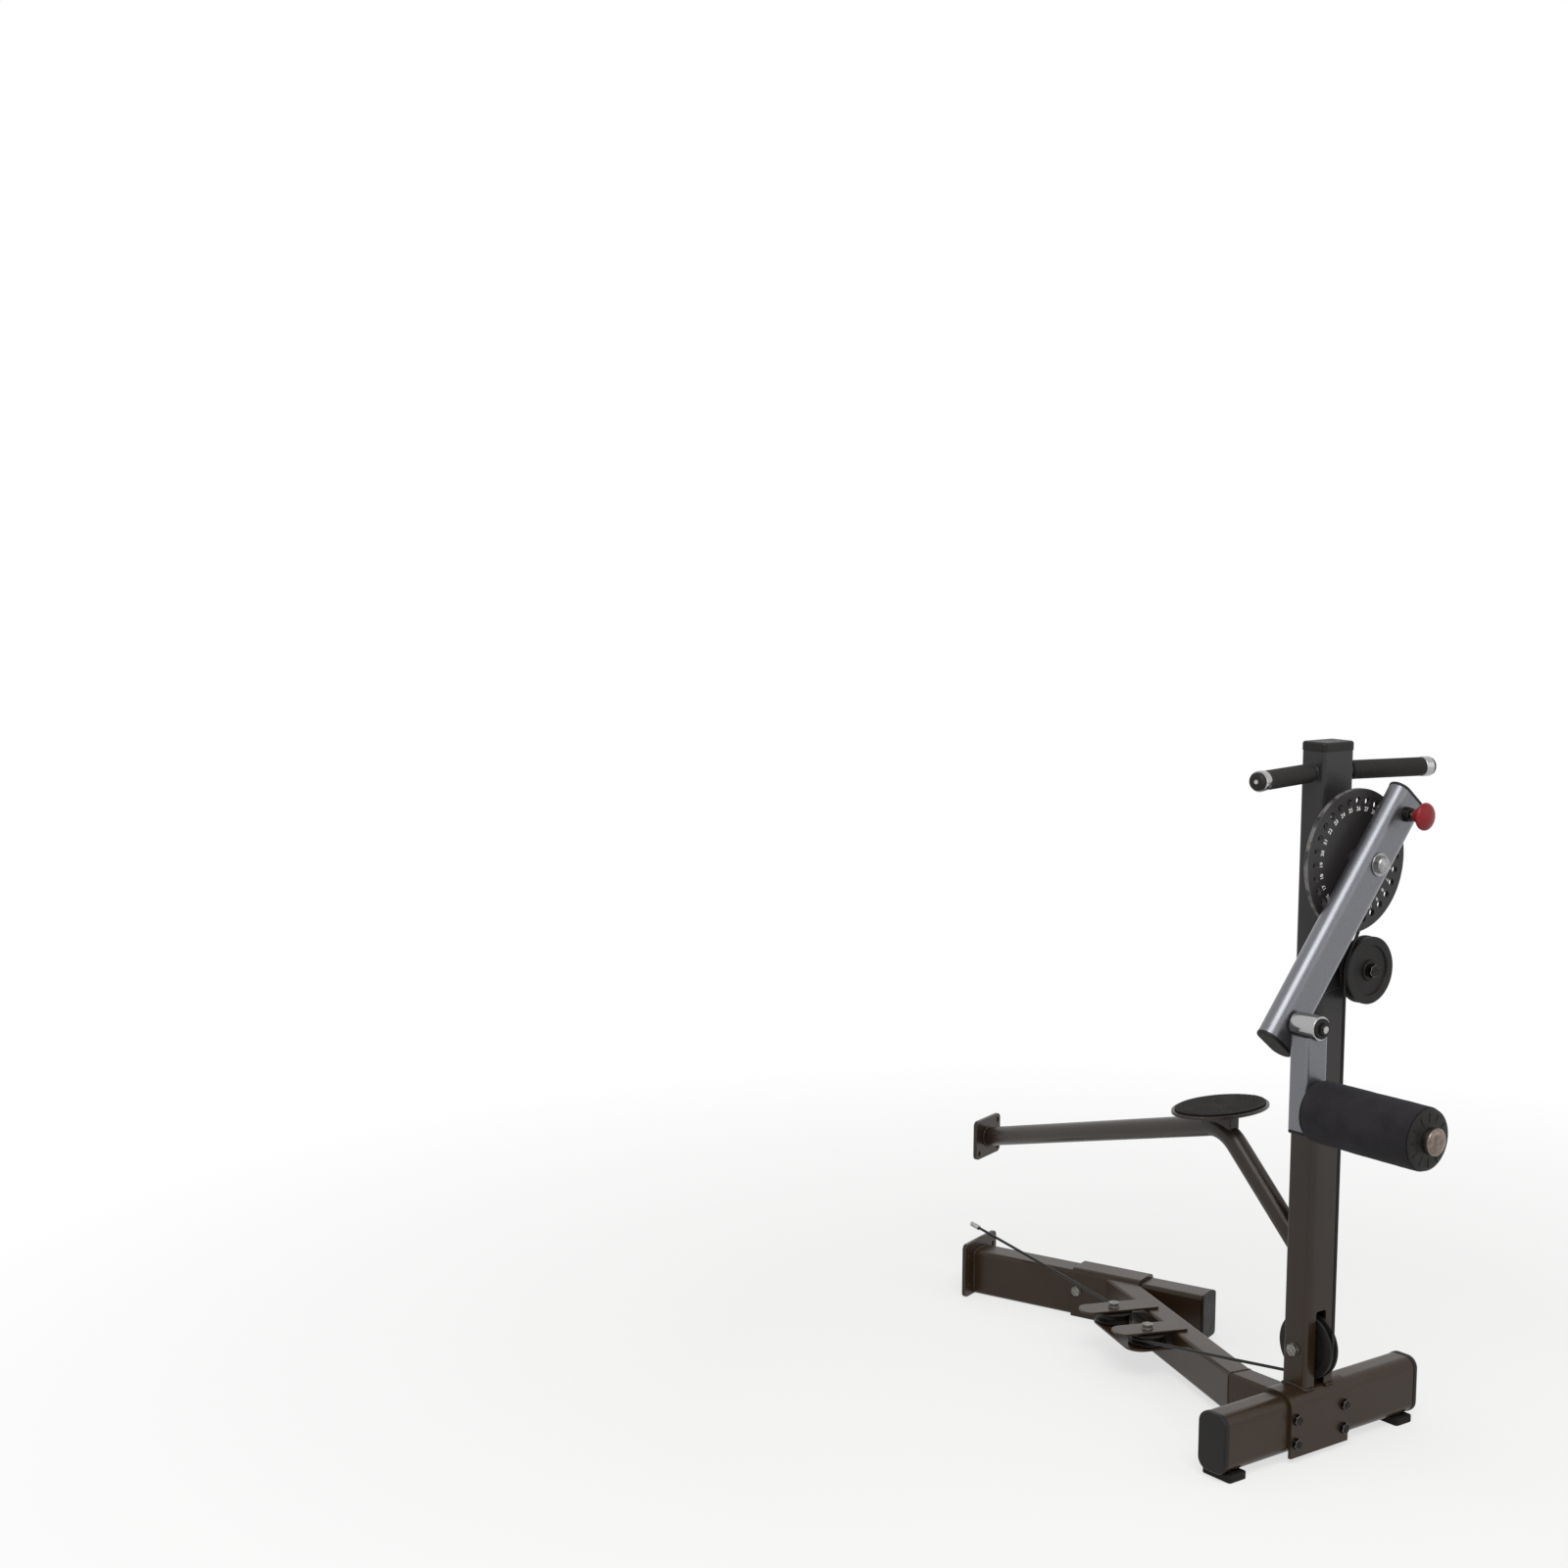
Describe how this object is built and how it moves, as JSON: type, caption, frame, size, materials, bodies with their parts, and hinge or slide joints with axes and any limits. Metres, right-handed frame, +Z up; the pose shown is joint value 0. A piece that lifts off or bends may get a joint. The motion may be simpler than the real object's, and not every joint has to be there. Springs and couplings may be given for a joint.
{
  "type": "multi hip machine",
  "caption": "Upright hip trainer: post on a T foot with handles, range disc, pinned swing arm, hanging foam roller, foot plate and a cable run to a host gym.",
  "frame": {"origin": "middle of the footprint, on the floor", "axes": "+X along the roller and pivot axes, away from the post's disc side; +Y along the crossbar; +Z up"},
  "size_m": [1.4068, 0.5418, 1.2203],
  "materials": {
    "frame_paint": "satin charcoal powder coat",
    "silver_paint": "silver paint",
    "bright_steel": "zinc plated fasteners",
    "chrome": "polished chrome",
    "black_plastic": "matt black moulding",
    "rubber": "black rubber",
    "foam": "closed-cell foam sleeve",
    "cable_jacket": "black nylon jacket on steel rope",
    "knob_red": "dark red moulding"
  },
  "bodies": {
    "machine_frame": {"post": "frame_paint", "post_top_cap": "black_plastic", "crossbar": "frame_paint", "crossbar_cap_left": "black_plastic", "crossbar_cap_right": "black_plastic", "rubber_foot_left": "rubber", "rubber_foot_right": "rubber", "post_saddle": "frame_paint", "saddle_bolt_1": "bright_steel", "saddle_bolt_2": "bright_steel", "saddle_bolt_3": "bright_steel", "saddle_bolt_4": "bright_steel", "junction_saddle": "frame_paint", "junction_bolt_1": "bright_steel", "junction_bolt_2": "bright_steel", "base_rail": "frame_paint", "base_rail_cap": "black_plastic", "link_rail": "frame_paint", "fork_shelf": "frame_paint", "fork_plate_1": "frame_paint", "fork_plate_2": "frame_paint", "fork_bolt_1": "bright_steel", "fork_bolt_2": "bright_steel", "brace": "frame_paint", "foot_plate": "frame_paint", "foot_plate_pad": "rubber", "handle_tube_left": "frame_paint", "handle_tube_right": "frame_paint", "handle_grip_left": "rubber", "handle_grip_right": "rubber", "grip_end_left": "chrome", "grip_end_right": "chrome", "idler_bracket": "frame_paint", "idler_bolt": "bright_steel", "low_axle_bolt": "bright_steel", "pivot_shaft": "bright_steel", "pivot_cap_nut": "chrome", "cable": "cable_jacket", "cable_end_sleeve": "bright_steel"},
    "drum": {"cable_drum": "frame_paint", "range_disc": "frame_paint", "cable_stop": "bright_steel"},
    "swing_arm": {"arm_tube": "silver_paint", "arm_cap_lower": "black_plastic", "arm_cap_upper": "black_plastic", "pin_barrel": "black_plastic", "link_bolt": "bright_steel"},
    "range_pin": {"pin_knob": "knob_red"},
    "roller_link": {"link_sleeve": "chrome", "link_tube": "silver_paint", "link_bottom_cap": "black_plastic", "roller_axle": "bright_steel", "roller_hub_cap": "chrome"},
    "roller": {"foam_roller": "foam", "roller_cap_inner": "black_plastic", "roller_cap_outer": "black_plastic"},
    "idler": {"idler_pulley": "black_plastic"},
    "low_wheel": {"low_pulley": "black_plastic"},
    "flat_wheel_1": {"flat_pulley_1": "black_plastic"},
    "flat_wheel_2": {"flat_pulley_2": "black_plastic"}
  },
  "joints": [
    {"name": "drum_swing", "type": "hinge", "parent": "machine_frame", "child": "drum", "pos_m": [0.353, -0.022, 1.027], "axis": [1, 0, 0], "range_deg": [0, 120]},
    {"name": "arm_select", "type": "hinge", "parent": "drum", "child": "swing_arm", "pos_m": [0.397, -0.022, 1.027], "axis": [1, 0, 0], "continuous": true},
    {"name": "pin_slide", "type": "slide", "parent": "swing_arm", "child": "range_pin", "axis": [1, 0, 0], "range_m": [-0.007, 0]},
    {"name": "link_swing", "type": "hinge", "parent": "swing_arm", "child": "roller_link", "pos_m": [0.4446, -0.21332, 0.78819], "axis": [1, 0, 0], "continuous": true},
    {"name": "roller_spin", "type": "hinge", "parent": "roller_link", "child": "roller", "pos_m": [0.576, -0.21332, 0.65619], "axis": [1, 0, 0], "continuous": true},
    {"name": "idler_spin", "type": "hinge", "parent": "machine_frame", "child": "idler", "pos_m": [0.353, 0.03, 0.837], "axis": [1, 0, 0], "continuous": true},
    {"name": "low_spin", "type": "hinge", "parent": "machine_frame", "child": "low_wheel", "pos_m": [0.301, -0.022, 0.183], "axis": [0, 1, 0], "continuous": true},
    {"name": "flat_spin_1", "type": "hinge", "parent": "machine_frame", "child": "flat_wheel_1", "pos_m": [-0.219, 0.028, 0.0778], "axis": [0, 0, 1], "continuous": true},
    {"name": "flat_spin_2", "type": "hinge", "parent": "machine_frame", "child": "flat_wheel_2", "pos_m": [-0.097, -0.005, 0.0778], "axis": [0, 0, 1], "continuous": true}
  ],
  "couplings": [
    {"joint": "idler_spin", "follows": "drum_swing", "ratio": -1.6538},
    {"joint": "low_spin", "follows": "drum_swing", "ratio": -1.6538},
    {"joint": "flat_spin_1", "follows": "drum_swing", "ratio": -2.8667},
    {"joint": "flat_spin_2", "follows": "drum_swing", "ratio": 2.8667}
  ]
}
